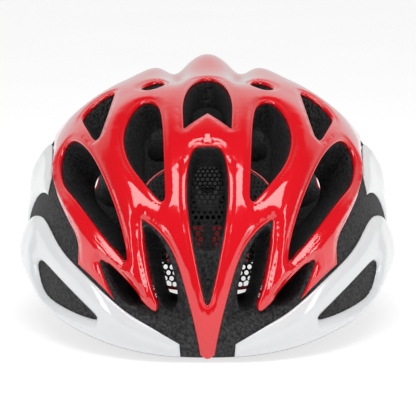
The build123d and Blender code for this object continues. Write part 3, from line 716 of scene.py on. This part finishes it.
def make_webbing(name, stations, start, end, material, mirror=False, width=15.0, thick=1.3):
    """Woven strap with slightly thicker edges, through stations of (point, width direction)."""
    flip_x = np.array([-1 if mirror else 1, 1, 1])
    points = [np.array(p, float) for p, _ in stations]
    slopes = [(points[min(i + 1, len(points) - 1)] - points[max(i - 1, 0)]) / 2 for i in range(len(points))]
    slopes[0] = np.array(start, float) * np.linalg.norm(points[1] - points[0])
    slopes[-1] = np.array(end, float) * np.linalg.norm(points[-1] - points[-2])
    profile = []
    for v in np.linspace(-1, 1, 13):
        edge_swell = 0.8 + 0.2 * step_up(abs(v), 0.75, 0.9)
        rounding = 1 - 0.6 * (abs(v) > 0.99)
        profile.append((v * width / 2, thick / 2 * edge_swell * rounding))
    ring = profile + [(x, -y) for x, y in reversed(profile)]
    verts, faces, rows = [], [], 0
    for i in range(len(points) - 1):
        last = i == len(points) - 2
        for u in np.linspace(0, 1, 13)[: 13 if last else 12]:
            p = hermite(points[i], points[i + 1], slopes[i], slopes[i + 1], u)
            ahead = hermite(points[i], points[i + 1], slopes[i], slopes[i + 1], u + 0.01)
            tangent = (ahead - p) / np.linalg.norm(ahead - p)
            across = np.array(stations[i][1], float) * (1 - u) + np.array(stations[i + 1][1], float) * u
            across -= tangent * across.dot(tangent)
            across /= np.linalg.norm(across)
            through = np.cross(across, tangent)
            verts += [(p + across * x + through * y) * flip_x for x, y in ring]
            rows += 1
    n = len(ring)
    faces = wall_faces(n, rows, 0) + [tuple(range(n)), tuple(range((rows - 1) * n, rows * n))]
    return new_object(name, np.array(verts), faces, material)


def make_straps(material):
    for side, mirror in (("right", False), ("left", True)):
        for part, anchor, y in (("strap_front", FRONT_ANCHOR, -7), ("strap_rear", REAR_ANCHOR, 11)):
            strap = make_webbing(f"{part}_web_{side}", upper_strap(anchor, y), (0, 0, -1), (-1, 0, 0), material, mirror)
            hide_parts(f"{part}_{side}")
        strap = make_webbing(f"chin_strap_web_{side}", CHIN_STRAP, (-1, 0, 0), (-1, 0, 0), material, mirror)
        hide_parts(f"chin_strap_{side}")
        if mirror:
            strap.parent = None
            del strap["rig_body"]
            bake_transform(strap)


# ---- materials ---------------------------------------------------------------------------------
def new_material(name):
    material = bpy.data.materials.new(name)
    material.use_nodes = True
    shader = material.node_tree.nodes["Principled BSDF"]
    return material, material.node_tree, shader


def add(tree, kind, **settings):
    node = tree.nodes.new(kind)
    for key, value in settings.items():
        if key in node.inputs:
            node.inputs[key].default_value = value
        else:
            setattr(node, key, value)
    return node


def noise_input(tree, scale, detail=4.0, kind="ShaderNodeTexNoise"):
    where = add(tree, "ShaderNodeTexCoord")
    texture = add(tree, kind)
    texture.inputs["Scale"].default_value = scale
    if "Detail" in texture.inputs:
        texture.inputs["Detail"].default_value = detail
    tree.links.new(where.outputs["Object"], texture.inputs["Vector"])
    return texture


def vary_colour(tree, shader, dark, light, scale, low=0.35, high=0.65):
    """Base colour that drifts between two close tones."""
    texture = noise_input(tree, scale)
    ramp = add(tree, "ShaderNodeValToRGB")
    ramp.color_ramp.elements[0].position, ramp.color_ramp.elements[1].position = low, high
    ramp.color_ramp.elements[0].color, ramp.color_ramp.elements[1].color = (*dark, 1), (*light, 1)
    tree.links.new(texture.outputs["Fac"], ramp.inputs["Fac"])
    tree.links.new(ramp.outputs["Color"], shader.inputs["Base Color"])


def vary_roughness(tree, shader, low, high, scale):
    texture = noise_input(tree, scale, 6.0)
    stretch = add(tree, "ShaderNodeMapRange")
    stretch.inputs["To Min"].default_value, stretch.inputs["To Max"].default_value = low, high
    tree.links.new(texture.outputs["Fac"], stretch.inputs["Value"])
    tree.links.new(stretch.outputs["Result"], shader.inputs["Roughness"])


def add_bump(tree, shader, height, strength, distance_mm):
    node = add(tree, "ShaderNodeBump")
    node.inputs["Strength"].default_value = strength
    node.inputs["Distance"].default_value = distance_mm * MM
    tree.links.new(height, node.inputs["Height"])
    tree.links.new(node.outputs["Normal"], shader.inputs["Normal"])


def gloss_material(name, dark, light, coat=1.0):
    """Painted, clear-coated shell: a faint drift of tone and a very slight ripple in the gloss."""
    material, tree, shader = new_material(name)
    vary_colour(tree, shader, dark, light, 9)
    vary_roughness(tree, shader, 0.10, 0.16, 35)
    shader.inputs["Coat Weight"].default_value = coat
    shader.inputs["Coat Roughness"].default_value = 0.03
    add_bump(tree, shader, noise_input(tree, 60, 2.0).outputs["Fac"], 0.04, 0.2)
    return material


def foam_material():
    """Expanded foam: fused beads about 2.5 mm across, with fine pits."""
    material, tree, shader = new_material("foam_beads")
    vary_colour(tree, shader, (0.004, 0.004, 0.005), (0.045, 0.045, 0.047), 620)
    shader.inputs["Roughness"].default_value = 0.62
    shader.inputs["Specular IOR Level"].default_value = 0.35
    beads = noise_input(tree, 520, kind="ShaderNodeTexVoronoi")
    grain = noise_input(tree, 1500, 3.0)
    total = add(tree, "ShaderNodeMath", operation="ADD")
    tree.links.new(beads.outputs["Distance"], total.inputs[0])
    tree.links.new(grain.outputs["Fac"], total.inputs[1])
    add_bump(tree, shader, total.outputs[0], 0.9, 0.7)
    return material


def cloth_material(name, dark, light, weave=900.0, roughness=0.9):
    """Knit or woven cloth: two crossing waves for the yarns."""
    material, tree, shader = new_material(name)
    vary_colour(tree, shader, dark, light, 300)
    shader.inputs["Roughness"].default_value = roughness
    shader.inputs["Sheen Weight"].default_value = 0.25
    where = add(tree, "ShaderNodeTexCoord")
    total = add(tree, "ShaderNodeMath", operation="MAXIMUM")
    for slot_number, direction in enumerate(("X", "Y")):
        wave = add(tree, "ShaderNodeTexWave", bands_direction=direction)
        wave.inputs["Scale"].default_value = weave / 6.28
        wave.inputs["Distortion"].default_value = 1.5
        tree.links.new(where.outputs["Object"], wave.inputs["Vector"])
        tree.links.new(wave.outputs["Fac"], total.inputs[slot_number])
    add_bump(tree, shader, total.outputs[0], 0.6, 0.3)
    return material


def plastic_material(name, dark, light, roughness=(0.35, 0.5)):
    material, tree, shader = new_material(name)
    vary_colour(tree, shader, dark, light, 80)
    vary_roughness(tree, shader, *roughness, 120)
    add_bump(tree, shader, noise_input(tree, 1800, 2.0).outputs["Fac"], 0.15, 0.05)
    return material


def steel_material():
    material, tree, shader = new_material("screw_steel")
    vary_colour(tree, shader, (0.42, 0.42, 0.44), (0.58, 0.58, 0.6), 400)
    vary_roughness(tree, shader, 0.25, 0.4, 700)
    shader.inputs["Metallic"].default_value = 1.0
    return material


def paint_cad_nodes(finishes):
    """Gives every CAD node the material of its slot in the record."""
    slots = {part["node"]: part["material_slot"] for part in frame["record"]["subparts"]}
    for name, node in frame["nodes"].items():
        node.data.materials.clear()
        node.data.materials.append(finishes[slots[name]])


# ---- floor, light and camera -------------------------------------------------------------------
TARGET, ELEVATION, DISTANCE = Vector((0, 0, 0.052)), math.radians(9.5), 1.15


def make_stage():
    bpy.ops.mesh.primitive_plane_add(size=12, location=(0, 0, -0.0006))
    floor = bpy.context.object
    floor.name = "floor"
    material, tree, shader = new_material("pale_floor")
    vary_colour(tree, shader, (0.40, 0.40, 0.40), (0.42, 0.42, 0.42), 3)
    shader.inputs["Roughness"].default_value = 0.9
    shader.inputs["Emission Color"].default_value = (1, 1, 1, 1)
    shader.inputs["Emission Strength"].default_value = 0.72
    floor.data.materials.append(material)


def make_light(name, place_at, size, power, aim=(0, 0, 0.07)):
    data = bpy.data.lights.new(name, "AREA")
    data.shape, data.size, data.size_y, data.energy = "RECTANGLE", size[0], size[1], power
    lamp = bpy.data.objects.new(name, data)
    lamp.location = place_at
    lamp.rotation_mode = "QUATERNION"
    lamp.rotation_quaternion = (Vector(aim) - Vector(place_at)).to_track_quat("-Z", "Y")
    bpy.context.scene.collection.objects.link(lamp)


def span(tree, value, low, high, at_low, at_high):
    """Maps a value from one range to another."""
    node = add(tree, "ShaderNodeMapRange")
    for name, number in (("From Min", low), ("From Max", high), ("To Min", at_low), ("To Max", at_high)):
        node.inputs[name].default_value = number
    tree.links.new(value, node.inputs["Value"])
    return node.outputs["Result"]


def make_lights():
    world = bpy.data.worlds.new("studio")
    bpy.context.scene.world = world
    world.use_nodes = True
    tree = world.node_tree
    background = tree.nodes["Background"]
    path = add(tree, "ShaderNodeLightPath")
    where = add(tree, "ShaderNodeTexCoord")
    split = add(tree, "ShaderNodeSeparateXYZ")
    tree.links.new(where.outputs["Generated"], split.inputs["Vector"])
    mirrored = span(tree, split.outputs["Y"], 0.35, 0.8, 0.06, 0.7)
    diffuse = span(tree, path.outputs["Is Glossy Ray"], 0, 1, 0.5, 0)
    glossy = add(tree, "ShaderNodeMath", operation="MULTIPLY")
    tree.links.new(mirrored, glossy.inputs[0])
    tree.links.new(path.outputs["Is Glossy Ray"], glossy.inputs[1])
    total = add(tree, "ShaderNodeMath", operation="ADD")
    tree.links.new(glossy.outputs[0], total.inputs[0])
    tree.links.new(diffuse, total.inputs[1])
    level = add(tree, "ShaderNodeMath", operation="MAXIMUM")
    tree.links.new(total.outputs[0], level.inputs[0])
    tree.links.new(path.outputs["Is Camera Ray"], level.inputs[1])
    tree.links.new(level.outputs[0], background.inputs["Strength"])
    background.inputs["Color"].default_value = (1, 1, 1, 1)
    make_light("softbox_top", (0, -0.55, 1.25), (1.1, 0.6), 9.5)
    make_light("softbox_left", (-1.15, -0.75, 0.55), (0.3, 0.9), 4)
    make_light("softbox_right", (1.15, -0.75, 0.55), (0.3, 0.9), 4)


def make_camera():
    data = bpy.data.cameras.new("camera")
    camera = bpy.data.objects.new("camera", data)
    back = Vector((0, -math.cos(ELEVATION), math.sin(ELEVATION)))
    camera.location = TARGET + back * DISTANCE
    camera.rotation_mode = "QUATERNION"
    camera.rotation_quaternion = (-back).to_track_quat("-Z", "Y")
    data.lens, data.sensor_width = 168.1, 36.0
    data.shift_x, data.shift_y = 0.0012, 0.0337
    bpy.context.scene.collection.objects.link(camera)
    bpy.context.scene.camera = camera


def main():
    red = gloss_material("red_gloss", (0.66, 0.002, 0.008), (0.72, 0.003, 0.011))
    white = gloss_material("white_gloss", (0.66, 0.67, 0.685), (0.70, 0.705, 0.715), 0.5)
    foam = foam_material()
    pads = cloth_material("pad_cloth", (0.008, 0.008, 0.009), (0.024, 0.024, 0.026))
    net = cloth_material("net_cloth", (0.008, 0.008, 0.008), (0.02, 0.02, 0.02), 1600, 0.7)
    webbing = cloth_material("webbing_weave", (0.008, 0.008, 0.009), (0.03, 0.03, 0.032), 2400, 0.8)
    cradle = plastic_material("cradle_plastic", (0.012, 0.012, 0.013), (0.02, 0.02, 0.022))
    dial = plastic_material("dial_plastic", (0.02, 0.02, 0.022), (0.035, 0.035, 0.037), (0.45, 0.6))
    buckle = plastic_material("buckle_plastic", (0.01, 0.01, 0.011), (0.018, 0.018, 0.02), (0.3, 0.45))
    nape = cloth_material("nape_cloth", (0.30, 0.004, 0.008), (0.42, 0.008, 0.012))
    finishes = {
        "foam": foam, "red_shell": red, "white_shell": white, "pad_fabric": pads, "net_mesh": net,
        "webbing": webbing, "cradle_plastic": cradle, "dial_plastic": dial, "dial_accent": red,
        "screw_steel": steel_material(), "buckle_plastic": buckle, "nape_fabric": nape,
    }
    paint_cad_nodes(finishes)
    make_camera()
    make_stage()
    make_lights()
    make_top_shell(red)
    make_bands(white)
    make_foam(foam)
    make_net(net, red)
    make_pads(pads)
    make_straps(webbing)
    bpy.context.scene.view_settings.view_transform = "Standard"


main()
